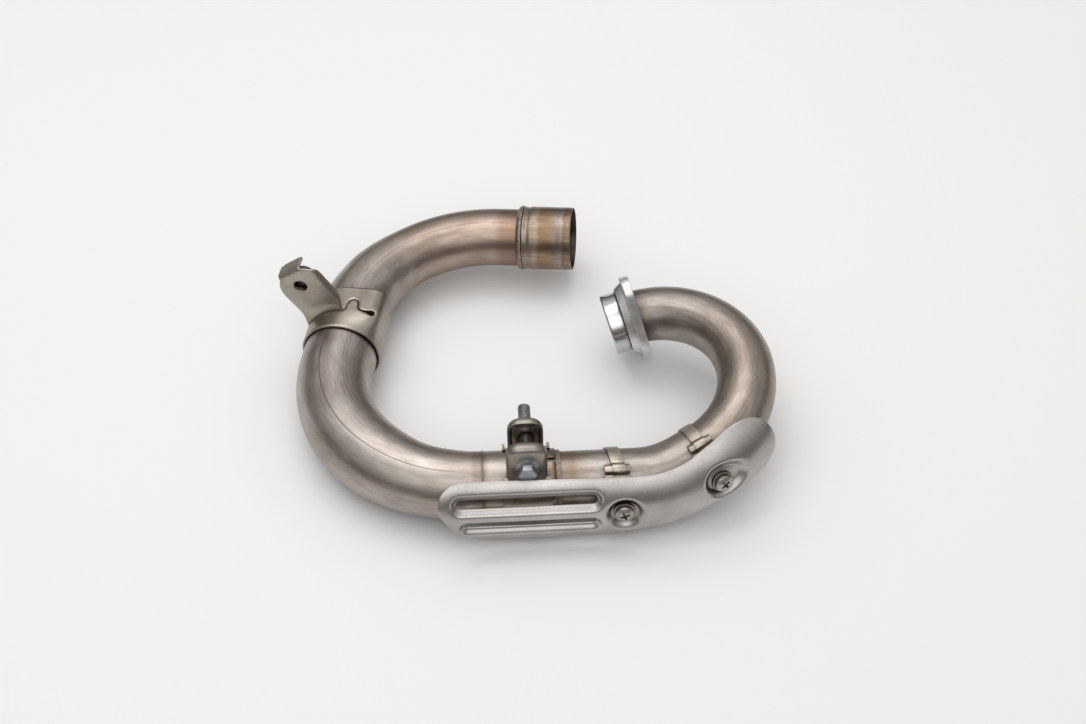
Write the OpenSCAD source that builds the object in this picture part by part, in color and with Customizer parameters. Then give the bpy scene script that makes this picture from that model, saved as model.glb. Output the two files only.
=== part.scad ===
// Exhaust header of an off-road motorcycle, lying on its side as it rests on a floor.
// The small pipe runs from the port flange to a slip joint; the large pipe goes on to
// the muffler sleeve. +X points along the sleeve, +Z is up, the floor is Z = 0.

/* [Front pipe] */
// Outer diameter of the small pipe
front_od = 38.1; // [36:0.1:41]
// Wall of the small pipe
front_wall = 1.2; // [1:0.1:1.6]
// Centreline radius of both bends of the small pipe
front_bend_r = 63; // [60:0.5:68]
// Straight from the slip joint to the first bend
front_run_1 = 52; // [50:0.5:56]
// Turn of the first bend
front_turn_1 = 26.5; // [24:0.5:29]
// Roll of the first bend's plane about the pipe
front_roll_1 = 35; // [33:0.5:37]
// Straight between the two bends
front_run_2 = 13.5; // [12:0.5:16]
// Turn of the U bend
front_turn_2 = 166.5; // [162:0.5:170]
// Roll of the U bend's plane from that of the first bend
front_roll_2 = -30.5; // [-33:0.5:-28]
// Straight at the port end, measured to the mouth of the collar
front_run_3 = 14; // [13:0.5:18]

/* [Rear pipe] */
// Outer diameter of the large pipe round the first bend
rear_od = 50.2; // [48:0.1:51]
// Outer diameter of the large pipe from the second bend to the tail
tail_od = 43.4; // [42:0.1:45]
// Wall of the large pipe
rear_wall = 1.2; // [1:0.1:1.6]
// Centreline radius of both bends of the large pipe
rear_bend_r = 92; // [88:0.5:96]
// Length of a cone between two pipe sizes
cone_len = 6; // [5:0.5:8]
// Turn of the first large bend
rear_turn_1 = 100.2; // [98:0.1:102]
// Roll of the first large bend's plane about the pipe
rear_roll_1 = 178.9; // [178:0.1:179.8]
// Straight between the large bends, under the hanger clamp
rear_run_2 = 40; // [40:0.5:44]
// Turn of the second large bend
rear_turn_2 = 89; // [87:0.5:91]
// Roll of the second large bend's plane from that of the first
rear_roll_2 = -3.4; // [-4:0.1:-3]
// Straight from the second large bend to the mouth of the sleeve
rear_run_3 = 56; // [54:0.5:60]

/* [Slip joint] */
// Length of the bell that takes the small pipe
bell_len = 46; // [44:0.5:50]
// Outer diameter of the bell
bell_od = 42.6; // [42.2:0.1:43.2]
// How far the small pipe goes into the bell
slip_depth = 40; // [36:0.5:42]
// Length of each slot in the bell, from its open end
slot_len = 16; // [12:0.5:20]
// Width of each slot in the bell
slot_w = 3; // [2:0.1:4]
// Number of slots in the bell
slot_count = 4; // [2:1:4]
// Thickness of the sealing sleeve between the small pipe and the bell
gasket_wall = 0.8; // [0.6:0.1:0.9]
// How far the sealing sleeve shows past the bell
gasket_show = 3; // [2:0.5:5]

/* [Tail sleeve] */
// Outer diameter of the sleeve
sleeve_od = 46; // [45.8:0.1:47]
// Wall of the sleeve
sleeve_wall = 1; // [1:0.1:1.3]
// Length of the sleeve
sleeve_len = 36; // [32:0.5:40]
// How far the pipe reaches into the sleeve
sleeve_lap = 6; // [4:0.5:8]

/* [Port end] */
// Outer diameter of the port collar
collar_od = 42; // [41:0.1:43]
// Length of the part of the collar that stands in front of the flange
collar_nose = 11; // [10:0.1:12]
// Distance from the collar's mouth to the flange's lugs
lug_back = 16.6; // [16.2:0.1:18]
// Thickness of the flange's two lugs
flange_thick = 5.8; // [5:0.1:7]
// Diameter of the flange's round boss
boss_od = 53; // [51:0.5:55]
// Distance between the two stud holes
stud_span = 62; // [60:0.5:66]
// Diameter of the stud holes
stud_hole_d = 8.6; // [8.4:0.1:9]
// Radius of the flange's lugs
lug_r = 11; // [10:0.5:12]
// Radius of the flange's middle
flange_mid_r = 29; // [28:0.5:31]
// Turn of the flange about the pipe
flange_turn = 7; // [0:1:20]
// Running clearance round the collar and the pipe
flange_gap = 0.4; // [0.3:0.1:0.6]

/* [Joint clamp] */
// Width of the clamp band
band_w = 30; // [28:0.5:32]
// Thickness of the clamp band
band_t = 1.5; // [1.2:0.1:1.8]
// Distance of the band's edge from the open end of the bell
band_inset = 3; // [2:0.5:5]
// Distance from the pipe's axis to the clamp bolt
bolt_rise = 32; // [31:0.5:34]
// Half of the distance across the two ears, outside
ear_reach = 14; // [13.5:0.1:15]
// Width of the near ear
near_ear_w = 25.5; // [24:0.5:27]
// Width of the far ear
far_ear_w = 22.5; // [21:0.5:24]
// Height of an ear above its lower edge
ear_h = 30; // [29:0.5:32]
// Depth of the rim round an ear
ear_rim = 7; // [5:0.5:8]
// Sheet thickness of the ears
ear_t = 2; // [1.6:0.1:2.4]
// Thread diameter of the clamp bolt
bolt_d = 8; // [8:1:8]
// Length of the clamp bolt under its head
bolt_len = 50; // [45:5:55]
// Distance across the flats of the bolt's head
bolt_af = 10; // [10:1:12]
// Diameter of the flange under the head of the clamp bolt
bolt_flange_d = 17; // [16:0.5:18]

/* [Hanger clamp] */
// Width of the hanger band along the pipe
hanger_w = 38; // [36:0.5:40]
// Place of the hanger band's middle along the straight between the large bends
hanger_at = 32; // [30:0.5:36]
// Sheet thickness of the hanger band and its tab
hanger_t = 2; // [1.6:0.1:2.4]
// Distance from the pipe's centre to the fold at the tab's tip
tab_reach = 66; // [62:0.5:70]
// Width of the tab
tab_w = 28; // [26:0.5:30]
// Lean of the tab away from upright
tab_lean = 26; // [22:1:30]
// Diameter of the tab's hole
tab_hole_d = 10; // [9:0.5:11]
// Distance from the pipe's centre to the tab's hole, along the tab
tab_hole_reach = 53; // [50:0.5:56]
// Shift of the tab to its lower edge
tab_shift = 2.5; // [1:0.5:4]
// Shift of the tab's hole from the pipe's radius
tab_hole_shift = 3.8; // [3:0.1:5]
// Depth of the fold along the tab's tip
tab_tip = 11; // [9:0.5:13]
// Depth of the stiffening fold along the tab's upper edge
tab_rim = 6; // [4:0.5:8]

/* [Heat shield] */
// Outer radius of the shield about the pipe's centreline
shield_r = 35.5; // [35:0.1:36.5]
// Sheet thickness of the shield
shield_t = 1.2; // [1:0.1:1.5]
// Elevation of the shield's pressing direction
press_rise = 8; // [6:0.5:10]
// Radius of a screw dish at the shield's surface
dish_r = 13.3; // [12.5:0.1:14]
// Radius of the flat seat in a screw dish
seat_r = 8.5; // [8:0.1:9]
// Depth of the seat below the shield's outside
seat_depth = 5.3; // [4.5:0.1:6]
// Height of the two long slots
vent_h = 7; // [6:0.1:7.5]
// Thickness of the rolled lip below a slot
vent_lip = 2.6; // [2:0.1:3]
// Left end of the long slots
vent_x0 = -64; // [-66:0.5:-60]
// Right end of the long slots
vent_x1 = 25; // [20:0.5:26]

/* [Shield straps] */
// Width of a strap
strap_w = 8; // [7:0.5:9]
// Thickness of a strap
strap_t = 1; // [0.8:0.1:1.2]
// Place of the first strap along the first straight
strap_at = 38; // [36:0.5:40]
// Lean of the first strap's edges from the pipe's cross plane
strap_lean = 8; // [6:0.5:10]
// Place of the first screw along the first straight
screw_a_at = 41; // [40:0.5:42]
// How far round the U bend the second screw is
screw_b_turn = 0.7; // [0.4:0.1:1.5]
// How far the second screw is rolled up from the first
screw_b_raise = 6; // [4:0.5:8]
// Width of a saddle along the pipe
saddle_w = 15.5; // [15:0.5:17]
// Thickness of a saddle
saddle_t = 1.5; // [1.2:0.1:1.8]
// Thread diameter of the shield's screws
screw_d = 6; // [6:1:6]
// Head diameter of the shield's screws
screw_head_d = 11.5; // [11:0.1:12]
// Outer diameter of the shield's washers
washer_d = 14; // [13:0.5:15]

/* [Hidden] */
$fn = 96;
e = 0.01;
vent_y = [11, -7];

// Where the open end of the bell lies, and how the straight beside it points
joint_at = [21.2, -104.2, 25.17];
joint_turn = 3.35;
joint_rise = 0.08;
joint_roll = -0.05;

// A straight stands proud of the bends by this much, over this length at each end
proud = 0.02;
lap = 0.5;
sheet_proud = 0.05;
sheet_lap = 1;
function lap_wall(wall) = wall + 2 * proud;
front_lap_r = front_od / 2 + proud;
rear_lap_r = rear_od / 2 + proud;
tail_lap_r = tail_od / 2 + proud;

front_id = front_od - 2 * front_wall;
rear_id = rear_od - 2 * rear_wall;
tail_id = tail_od - 2 * rear_wall;
gasket_id = front_od + 0.15;
gasket_od = gasket_id + 2 * gasket_wall;
bell_id = gasket_od + 0.1;
sleeve_id = sleeve_od - 2 * sleeve_wall;
collar_id = front_od + 0.15;
band_r = bell_od / 2 + 0.05;
hanger_r = rear_od / 2 + 0.1;
tab_x = -3.5;
flange_back = lug_back + flange_thick;
seat_out = shield_r - seat_depth;
seat_in = seat_out - shield_t;
saddle_r = front_od / 2 + 0.08;
bush_r = saddle_r + saddle_t;
strap_lo = saddle_r + 0.25;
strap_hi = bush_r + 0.05;

steel = [0.60, 0.57, 0.53];
warm = [0.62, 0.56, 0.49];
bright = [0.80, 0.80, 0.80];
satin = [0.78, 0.77, 0.75];
dark = [0.38, 0.38, 0.40];
carbon = [0.20, 0.20, 0.20];

// ---- frames along the two pipes; local +X runs along the pipe ----

module joint_frame()
    translate(joint_at) rotate([joint_roll, -joint_rise, joint_turn]) children();

module run(l) translate([l, 0, 0]) children();

module round_bend(r, roll, turn)
    rotate([roll, 0, 0]) translate([0, r, 0]) rotate([0, 0, turn]) translate([0, -r, 0]) children();

module after_bend_1()
    joint_frame() run(front_run_1) round_bend(front_bend_r, front_roll_1, front_turn_1) children();

module after_bend_2()
    after_bend_1() run(front_run_2) round_bend(front_bend_r, front_roll_2, front_turn_2) children();

// Mouth of the port collar, looking back down the pipe: local +X points into the pipe
module port_frame() after_bend_2() run(front_run_3) rotate([0, 0, 180]) children();

module rear_frame() joint_frame() rotate([0, 0, 180]) children();

module after_rear_1()
    rear_frame() run(bell_len + cone_len) round_bend(rear_bend_r, rear_roll_1, rear_turn_1) children();

module after_rear_2()
    after_rear_1() run(rear_run_2 + cone_len) round_bend(rear_bend_r, rear_roll_2, rear_turn_2) children();

module tail_frame() after_rear_2() run(rear_run_3) children();

// First screw's frame on the straight, second one's where the U bend starts
module strap_a_frame() joint_frame() run(screw_a_at) children();
module screw_b_spot()
    after_bend_1() run(front_run_2) round_bend(front_bend_r, front_roll_2, screw_b_turn) children();
module strap_b_frame() screw_b_spot() rotate([-screw_b_raise, 0, 0]) children();

// Hanger clamp's middle; local +Z is up, +X runs along the pipe, -Y is the inner side
module hanger_frame() after_rear_1() run(hanger_at) rotate([180, 0, 0]) children();

// ---- basic solids along local +X ----

module rod(d, l) rotate([0, 90, 0]) cylinder(d = d, h = l);

module tube(od, id, l) rotate([0, 90, 0]) linear_extrude(l) difference() {
    circle(d = od);
    circle(d = id);
}

// Tube with its outer radius given along its length as [place, radius]
module turned_tube(steps, wall) rotate([0, 90, 0]) rotate_extrude() polygon(concat(
    [for (p = steps) [p[1], p[0]]],
    [for (i = [len(steps) - 1:-1:0]) [steps[i][1] - wall, steps[i][0]]]));

module elbow(od, id, r, roll, turn)
    rotate([roll, 0, 0]) translate([0, r, 0]) rotate([0, 0, -90]) rotate_extrude(angle = turn)
        translate([r, 0]) difference() {
            circle(d = od);
            circle(d = id);
        }

// A ring segment about local X, l wide and centred, from angle a0 to a1.
// Angles are elevations: 0 faces local -Y, 90 faces up.
module arc_band(r0, r1, l, a0, a1)
    rotate([0, 90, 0]) rotate([0, 0, -90 - a1]) rotate_extrude(angle = a1 - a0)
        translate([r0, -l / 2]) square([r1 - r0, l]);

// Points local +Z outward at the elevation a; local X still runs along the pipe
module facing(a) rotate([90 - a, 0, 0]) children();

// ---- front pipe and port end ----

// Each straight laps a little way over the bends beside it
module front_pipe() color(warm) {
    joint_frame() {
        run(-slip_depth) turned_tube([[0, front_lap_r], [slip_depth + front_run_1 + lap, front_lap_r]],
            lap_wall(front_wall));
        run(front_run_1) elbow(front_od, front_id, front_bend_r, front_roll_1, front_turn_1);
    }
    after_bend_1() {
        run(-lap) turned_tube([[0, front_lap_r], [front_run_2 + 2 * lap, front_lap_r]],
            lap_wall(front_wall));
        run(front_run_2) elbow(front_od, front_id, front_bend_r, front_roll_2, front_turn_2);
    }
    after_bend_2() run(-lap) turned_tube([[0, front_lap_r], [front_run_3 + lap - 2.05, front_lap_r]],
        lap_wall(front_wall));
}

// The collar slides over the pipe's end and has a lip inside its mouth; it is relieved where the flange turns
module port_collar() color(bright) port_frame() difference() {
    rotate([0, 90, 0]) rotate_extrude() polygon([
        [front_id / 2, 0], [collar_od / 2 - 0.8, 0], [collar_od / 2, 0.8],
        [collar_od / 2, collar_nose - 0.6], [collar_od / 2 - 0.4, collar_nose - 0.6],
        [collar_od / 2 - 0.4, front_run_3 - e], [front_id / 2, front_run_3 - e]]);
    translate([2, 0, 0]) rod(collar_id, front_run_3);
}

module collar_weld() color(dark) port_frame() translate([front_run_3 + 0.02, 0, 0])
    rotate([0, 90, 0]) rotate_extrude() polygon([
        [collar_id / 2, 0], [collar_od / 2 - 0.6, 0], [collar_id / 2, 1.6]]);

// Outline that joins the middle circle to one lug by its two tangents
module lug_outline(r1, r2, d) {
    a = acos((r1 - r2) / d);
    polygon([[0, 0], [r1 * cos(a), r1 * sin(a)], [d + r2 * cos(a), r2 * sin(a)],
        [d + r2 * cos(a), -r2 * sin(a)], [r1 * cos(a), -r1 * sin(a)]]);
    translate([d, 0]) circle(r = r2);
}

module port_flange() color(satin) port_frame() rotate([flange_turn, 0, 0]) difference() {
    union() {
        translate([lug_back, 0, 0]) rotate([0, 90, 0]) linear_extrude(flange_thick) {
            circle(r = flange_mid_r);
            for (s = [0, 180]) rotate(s) lug_outline(flange_mid_r, lug_r, stud_span / 2);
        }
        translate([collar_nose, 0, 0]) rod(boss_od, lug_back - collar_nose + e);
    }
    translate([collar_nose - 1, 0, 0])
        rod(collar_od + 2 * flange_gap, front_run_3 + 1.2 - collar_nose + 1);
    translate([collar_nose - 1, 0, 0]) rod(front_od + 6 * flange_gap, flange_back);
    for (s = [-1, 1]) translate([collar_nose, 0, s * stud_span / 2]) rod(stud_hole_d, flange_back);
}

// ---- rear pipe, bell and sleeve ----

module rear_pipe() color(steel) {
    rear_frame() {
        difference() {
            turned_tube([[0, bell_od / 2], [bell_len, bell_od / 2], [bell_len + cone_len, rear_lap_r],
                [bell_len + cone_len + lap, rear_lap_r]], (bell_od - bell_id) / 2);
            for (i = [0:slot_count - 1]) rotate([i * 360 / slot_count, 0, 0])
                translate([-1, -slot_w / 2, bell_id / 2 - 2]) cube([slot_len + 1, slot_w, 6]);
        }
        run(bell_len + cone_len) elbow(rear_od, rear_id, rear_bend_r, rear_roll_1, rear_turn_1);
    }
    after_rear_1() {
        run(-lap) turned_tube([[0, rear_lap_r], [rear_run_2 + lap, rear_lap_r],
            [rear_run_2 + cone_len + lap, tail_lap_r], [rear_run_2 + cone_len + 2 * lap, tail_lap_r]],
            lap_wall(rear_wall));
        run(rear_run_2 + cone_len) elbow(tail_od, tail_id, rear_bend_r, rear_roll_2, rear_turn_2);
    }
    after_rear_2() run(-lap) turned_tube([[0, tail_lap_r],
        [rear_run_3 - sleeve_len + sleeve_lap + lap, tail_lap_r]], lap_wall(rear_wall));
}

module joint_gasket() color(carbon) rear_frame() {
    tube(gasket_od, gasket_id, slip_depth);
    run(-gasket_show) tube(gasket_od + 0.4, gasket_id, gasket_show + e);
}

module bell_weld() color(dark) rear_frame() run(bell_len - 0.7) rotate([0, 90, 0])
    rotate_extrude() polygon([[bell_od / 2 + 0.05, 0], [bell_od / 2 + 0.9, 0.3],
        [bell_od / 2 + 0.9, 0.6], [bell_od / 2 + 0.05, 0.7]]);

module tail_sleeve() color(warm) after_rear_2() run(rear_run_3 - sleeve_len) {
    tube(sleeve_od, tail_od + 0.08, sleeve_lap + 1);
    run(sleeve_lap + 1) tube(sleeve_od, sleeve_id, sleeve_len - sleeve_lap - 1);
}

module tail_weld() color(dark) after_rear_2() run(rear_run_3 - sleeve_len) rotate([0, -90, 0])
    rotate_extrude() polygon([[tail_od / 2 + 0.04, 0], [sleeve_od / 2, 0],
        [sleeve_od / 2 + 0.5, 1.5], [sleeve_od / 2 - 0.2, 2.8], [tail_od / 2 + 0.04, 3.6]]);

// ---- joint clamp ----

module clamp_frame() joint_frame() translate([-band_inset - band_w / 2, 0, 0]) children();

// The band is open at the top; each end turns up into a leg that the bolt passes through
module joint_band() color(steel) clamp_frame() difference() {
    leg_y = ear_reach - ear_t - band_t - 0.05;
    leg_a = acos((leg_y + band_t / 2) / band_r);
    union() {
        arc_band(band_r, band_r + band_t, band_w, -270 + (90 - leg_a) , leg_a);
        for (s = [-1, 1]) translate([-9, s > 0 ? leg_y : -leg_y - band_t, 0])
            translate([0, 0, band_r * sin(leg_a)]) cube([18, band_t, bolt_rise + 9 - band_r * sin(leg_a)]);
        for (x = [-band_w / 2 + 0.8, band_w / 2 - 0.8]) translate([x, 0, 0])
            arc_band(band_r, band_r + band_t + 2.4, 1.6, 128, 180);
    }
    translate([0, -30, bolt_rise]) rotate([-90, 0, 0]) cylinder(d = bolt_d + 0.6, h = 60);
}

// Side view of an ear: a plate with round top corners
module ear_outline(w, h, r) {
    translate([-w / 2, 2]) square([w, h - r - 2]);
    translate([-w / 2 + 2, 0]) square([w - 4, h - r]);
    for (s = [-1, 1]) translate([s * (w / 2 - 2), 2]) circle(r = 2);
    translate([-w / 2 + r, 0]) square([w - 2 * r, h]);
    for (s = [-1, 1]) translate([s * (w / 2 - r), h - r]) circle(r = r);
}

// A pressed ear: plate outside, rim round it on the inside, open below
module pressed_ear(w) difference() {
    rotate([90, 0, 0]) linear_extrude(ear_rim + ear_t) ear_outline(w, ear_h, 8);
    translate([0, -ear_t, -ear_t]) rotate([90, 0, 0]) linear_extrude(ear_rim + 1)
        ear_outline(w - 2 * ear_t, ear_h, 8 - ear_t);
    translate([0, 1, ear_h / 2]) rotate([90, 0, 0]) cylinder(d = bolt_d + 0.6, h = ear_t + 2);
}

module joint_ear_near() color(warm) clamp_frame() difference() {
    translate([0, -ear_reach, bolt_rise - ear_h / 2]) rotate([0, 0, 180]) pressed_ear(near_ear_w);
    translate([-20, 0, 0]) rod(2 * (band_r + band_t + 0.05), 40);
}

module joint_ear_far() color(warm) clamp_frame() difference() {
    translate([0, ear_reach, bolt_rise - ear_h / 2]) pressed_ear(far_ear_w);
    translate([-20, 0, 0]) rod(2 * (band_r + band_t + 0.05), 40);
}

module hexagon(af, h) cylinder(d = af / cos(30), h = h, $fn = 6);

// Head faces the viewer; the thread's end stands well past the nut
module joint_bolt() color(dark) clamp_frame() translate([0, -ear_reach, bolt_rise]) {
    rotate([-90, 0, 0]) cylinder(d = bolt_d, h = bolt_len - 1);
    translate([0, bolt_len - 1, 0]) rotate([-90, 0, 0]) cylinder(d1 = bolt_d, d2 = bolt_d - 2, h = 1);
    rotate([90, 0, 0]) {
        cylinder(d = bolt_flange_d, h = 1.4);
        translate([0, 0, 1.4 - e]) cylinder(d1 = bolt_flange_d - 1, d2 = bolt_af + 1.5, h = 1.4);
        hexagon(bolt_af, 7.6);
    }
}

module joint_nut() color(dark) clamp_frame() translate([0, ear_reach, bolt_rise]) rotate([-90, 0, 0])
    difference() {
        union() {
            cylinder(d = bolt_flange_d, h = 1.4);
            hexagon(12, 7.5);
        }
        translate([0, 0, -1]) cylinder(d = bolt_d, h = 10);
    }

// ---- hanger clamp ----

// Section of the band: round, with a square hollow corner at the upper inner side.
// x is up, y is across, inner side at -y.
module hanger_section() difference() {
    union() {
        circle(r = hanger_r + hanger_t);
        translate([0, -hanger_r - hanger_t]) square(hanger_r + hanger_t);
    }
    circle(r = hanger_r);
    translate([0, -hanger_r]) square(hanger_r);
}

// Plate of the tab in the pipe's cross plane, leaning to the outer side
module tab_plate() rotate(-tab_lean) translate([tab_shift, 0]) {
    translate([-tab_w / 2 + 1, hanger_r - 2]) square([tab_w - 2, tab_reach - hanger_r - 6]);
    translate([-tab_w / 2, hanger_r + 8]) square([tab_w, tab_reach - hanger_r - 14]);
    translate([-tab_w / 2 + 5, tab_reach - 8]) square([tab_w - 10, 8]);
    for (s = [-1, 1]) translate([s * (tab_w / 2 - 6), tab_reach - 6]) circle(r = 6);
}

module hanger_band() color(steel) hanger_frame() difference() {
    union() {
        translate([-hanger_w / 2, 0, 0]) rotate([0, 90, 0]) rotate([0, 0, 180])
            linear_extrude(hanger_w) mirror([0, 1, 0]) hanger_section();
        // leaning tab with a fold at its tip and another along its upper edge
        translate([tab_x, 0, 0]) difference() {
            union() {
                rotate([90, 0, 90]) linear_extrude(hanger_t) tab_plate();
                rotate([-tab_lean, 0, 0]) translate([0, tab_shift, 0]) {
                    translate([0, -tab_w / 2 + 6, tab_reach - hanger_t])
                        cube([tab_tip, tab_w - 12, hanger_t]);
                    translate([0, -tab_w / 2, hanger_r + 10])
                        cube([tab_rim, hanger_t, tab_reach - hanger_r - 18]);
                }
            }
            rotate([-tab_lean, 0, 0]) translate([-1, tab_hole_shift, tab_hole_reach])
                rod(tab_hole_d, hanger_t + 2);
            translate([-5, 0, 0]) rod(2 * hanger_r + 1, hanger_w);
        }
    }
    // parting line with a locking tongue, and the opening at the square corner
    translate([tab_x + hanger_t, 0, hanger_r - 6]) {
        translate([-0.2, -20, 0]) cube([1.6, 11, 9]);
        translate([-0.2, -2.5, 0]) cube([1.6, 4.5, 9]);
        translate([8, -6, 0]) difference() {
            union() {
                cylinder(r = 5, h = 9);
                translate([-8.2, -5, 0]) cube([8.2, 10, 9]);
            }
            translate([0, 0, -1]) cylinder(r = 3.6, h = 11);
            translate([-9, -3.6, -1]) cube([9, 7.2, 11]);
        }
        translate([-3, -hanger_r - 3, -4]) cube([6, 12, 14]);
    }
}

// ---- shield straps ----

// The rib is an arch across the strap; the strap rises over it and over the saddle
rib_a = 66;
rib_d = 7.4;
saddle_a0 = -30;
saddle_a1 = 62;

// A strap is one loop: low on the far side of the pipe, high over the saddle and its rib.
// Its edges lie in planes that lean from the pipe's cross plane.
module strap(lean, screw_x) difference() {
    intersection() {
        union() {
            arc_band(strap_lo, strap_lo + strap_t, 3 * strap_w, saddle_a1 + 18, 360 + saddle_a0 - 4);
            arc_band(strap_hi, strap_hi + strap_t, 3 * strap_w, saddle_a0 - 6, rib_a - 10.8);
            arc_band(strap_hi, strap_hi + strap_t, 3 * strap_w, rib_a + 10.8, saddle_a1 + 19.5);
            for (a = [saddle_a0 - 5.5, saddle_a1 + 17])
                arc_band(strap_lo + 0.2, strap_hi + strap_t - 0.2, 3 * strap_w, a, a + 2.2);
            difference() {
                facing(rib_a) translate([-1.5 * strap_w, 0, front_od / 2])
                    rod(rib_d + 2 * strap_t + 0.1, 3 * strap_w);
                facing(rib_a) translate([-2 * strap_w, 0, front_od / 2]) rod(rib_d + 0.1, 4 * strap_w);
                translate([-2 * strap_w, 0, 0]) rod(2 * strap_hi + strap_t, 4 * strap_w);
            }
        }
        rotate([0, 0, lean]) cube([strap_w, 80, 80], center = true);
    }
    translate([screw_x, 0, 0]) facing(press_rise) cylinder(d = 11, h = 60);
}

// A pressed plate under the strap whose upper end is an open rib
module saddle(screw_x) difference() {
    union() {
        arc_band(saddle_r, bush_r, saddle_w, saddle_a0, rib_a - 8);
        difference() {
            facing(rib_a) translate([-saddle_w / 2, 0, front_od / 2]) rod(rib_d, saddle_w);
            facing(rib_a) translate([-saddle_w, 0, front_od / 2])
                rod(rib_d - 2 * saddle_t, 2 * saddle_w);
            translate([-saddle_w, 0, 0]) rod(2 * saddle_r + 0.7, 2 * saddle_w);
        }
    }
    translate([screw_x, 0, 0]) facing(press_rise) cylinder(d = screw_d + 0.8, h = 60);
}

// Threaded bush on the saddle; the shield's dish sits on it
module bush() facing(press_rise) difference() {
    translate([0, 0, bush_r - 1]) cylinder(d = 10.4, h = seat_in - bush_r + 1 - 0.05);
    cylinder(d = screw_d, h = 60);
    rotate([press_rise - 90, 0, 0]) translate([-40, 0, 0]) rod(2 * bush_r + 0.1, 80);
}

module washer() facing(press_rise) translate([0, 0, seat_out + 0.05]) difference() {
    cylinder(d = washer_d, h = 1.4);
    translate([0, 0, -1]) cylinder(d = screw_d + 0.4, h = 4);
}

// Pan head with a crossed recess
module screw() facing(press_rise) translate([0, 0, seat_out + 1.5]) difference() {
    union() {
        translate([0, 0, -9]) cylinder(d = screw_d, h = 9 + e);
        rotate_extrude() intersection() {
            translate([0, -6]) circle(r = 10);
            square([screw_head_d / 2, 5]);
        }
    }
    for (a = [0, 90]) rotate([0, 0, a + 20]) translate([-3, -0.7, 2]) cube([6, 1.4, 5]);
}

module strap_a() color(steel) joint_frame() run(strap_at) strap(strap_lean, screw_a_at - strap_at);
module saddle_a() color(warm) joint_frame() run(strap_at) saddle(screw_a_at - strap_at);
module bush_a() color(dark) strap_a_frame() bush();
module washer_a() color(satin) strap_a_frame() washer();
module screw_a() color(satin) strap_a_frame() screw();
module strap_b() color(steel) strap_b_frame() strap(0, 0);
module saddle_b() color(warm) strap_b_frame() saddle(0);
module bush_b() color(dark) strap_b_frame() bush();
module washer_b() color(satin) strap_b_frame() washer();
module screw_b() color(satin) strap_b_frame() screw();

// ---- heat shield ----

// Front elevation of the shield along its pressing direction
shield_outline = [
    [-74, 4], [-73, 14], [-69.5, 20], [-64, 23.4], [-56, 24.3], [50, 24.3], [64, 24.6],
    [76, 27], [84, 30.5], [94, 37], [106, 42.5], [114, 45.2], [121, 45.2], [128, 42.8],
    [134, 38], [138, 31], [140, 22], [140.5, 12], [139, 4], [134, -1], [122, -7.5],
    [108, -14], [92, -18.5], [76, -20], [46, -22.8], [30, -24.5], [10, -25.3], [-50, -25.3],
    [-58, -23], [-65, -17], [-70.5, -8]];

module half_ring(more) difference() {
    intersection() {
        circle(r = shield_r + more);
        translate([-3, -50]) square([53, 100]);
    }
    circle(r = shield_r - shield_t - more);
}

// Sheet at a fixed distance from the pipe, on the side that faces the pressing direction;
// total is the roll that has built up since the joint
module shield_bar(l, total) run(-sheet_lap) rotate([0, 90, 0]) rotate([0, 0, -90])
    linear_extrude(l + 2 * sheet_lap) mirror([0, 1]) rotate(total + press_rise) half_ring(sheet_proud);

module shield_elbow(roll, turn, total)
    rotate([roll, 0, 0]) translate([0, front_bend_r, 0]) rotate([0, 0, -90])
        rotate_extrude(angle = turn) translate([front_bend_r, 0])
            rotate(total + press_rise) half_ring(0);

module trimmed() intersection() {
    children();
    joint_frame() facing(press_rise) translate([0, 0, -30]) linear_extrude(90) polygon(shield_outline);
}

module shield_sheet() trimmed() {
    joint_frame() run(-78) shield_bar(78 + front_run_1, 0);
    joint_frame() run(front_run_1) shield_elbow(front_roll_1, front_turn_1, front_roll_1);
    after_bend_1() shield_bar(front_run_2, front_roll_1);
    after_bend_1() run(front_run_2) shield_elbow(front_roll_2, 36, front_roll_1 + front_roll_2);
}

module slot_bar(x0, x1, y, r) {
    translate([x0 + r, y - r]) square([x1 - x0 - 2 * r, 2 * r]);
    for (x = [x0 + r, x1 - r]) translate([x, y]) circle(r = r);
}

// Conical dish that carries a screw, and the smaller hole in the sheet that it closes
module dish() facing(press_rise) rotate_extrude() polygon([
    [0, seat_in], [seat_r + 1, seat_in], [dish_r + 1.2, shield_r + 1],
    [dish_r + 0.4, shield_r + 1], [seat_r, seat_out], [0, seat_out]]);

module dish_hole() facing(press_rise) rotate_extrude() polygon([
    [0, seat_in - 3], [seat_r, seat_in - 3], [seat_r + 0.5, seat_in], [dish_r + 0.7, shield_r + 1],
    [0, shield_r + 1]]);

module heat_shield() color(satin) difference() {
    union() {
        difference() {
            shield_sheet();
            joint_frame() facing(press_rise) linear_extrude(60)
                for (y = vent_y) slot_bar(vent_x0, vent_x1, y, vent_h / 2);
            strap_a_frame() dish_hole();
            strap_b_frame() dish_hole();
        }
        // rolled lower lips of the two slots
        for (y = vent_y) joint_frame() facing(press_rise)
            translate([vent_x0 + 4, y - vent_h / 2 - 1,
                    sqrt(pow(shield_r - shield_t / 2, 2) - pow(y - vent_h / 2 - 1, 2))])
                rod(vent_lip, vent_x1 - vent_x0 - 8);
        intersection() {
            strap_a_frame() dish();
            joint_frame() rod(2 * shield_r - 0.3, front_run_1 + 10);
        }
        intersection() {
            strap_b_frame() dish();
            screw_b_spot() dish_b_limit(2.5 * front_bend_r);
        }
    }
    strap_a_frame() facing(press_rise) cylinder(d = screw_d + 0.6, h = 60);
    strap_b_frame() facing(press_rise) cylinder(d = screw_d + 0.6, h = 60);
}

// Half-way between the straight sheet before the second screw and the bent sheet after it
module dish_b_limit(r) translate([0, r, 0]) rotate([0, 0, -97]) rotate_extrude(angle = 14)
    translate([r, 0]) circle(r = shield_r - 0.4);

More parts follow.
